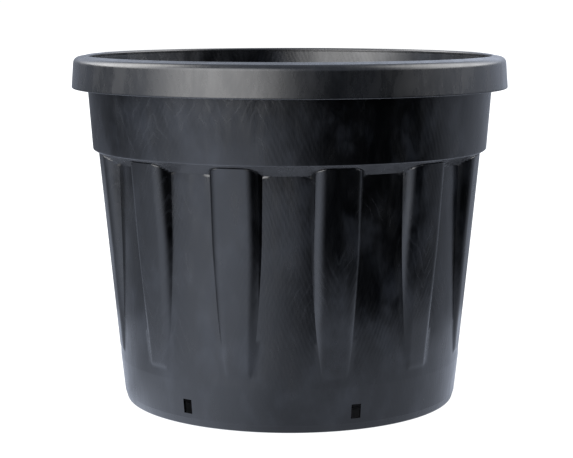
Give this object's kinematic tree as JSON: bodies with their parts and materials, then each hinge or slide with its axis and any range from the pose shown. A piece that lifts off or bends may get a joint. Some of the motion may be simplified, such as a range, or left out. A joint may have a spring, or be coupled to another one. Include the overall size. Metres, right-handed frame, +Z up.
{
  "type": "florist bucket",
  "caption": "Large round moulded plant bucket with a turned-down grip rim, a plain collar, a fluted tapered wall and drain slots above the foot.",
  "frame": {"origin": "centre of the standing face, on the surface that the container stands on", "axes": "+Z up along the axis of the round wall; -Y is the front, at the middle of a recessed panel; +X is to the right seen from the front"},
  "size_m": [0.5022, 0.5022, 0.3985],
  "materials": {
    "rim_plastic": "satin moulded polyolefin, smoother than the wall",
    "wall_plastic": "satin moulded polyolefin with faint flow marks",
    "base_plastic": "dull moulded polyolefin, lightly scuffed"
  },
  "bodies": {
    "root": {"rim_land": "rim_plastic", "rim_skirt": "rim_plastic", "collar_band": "wall_plastic", "shoulder_ring": "wall_plastic", "fluted_wall": "wall_plastic", "foot_band": "wall_plastic", "foot_ring": "base_plastic", "floor_plate": "base_plastic", "floor_ribs": "base_plastic"}
  },
  "joints": []
}
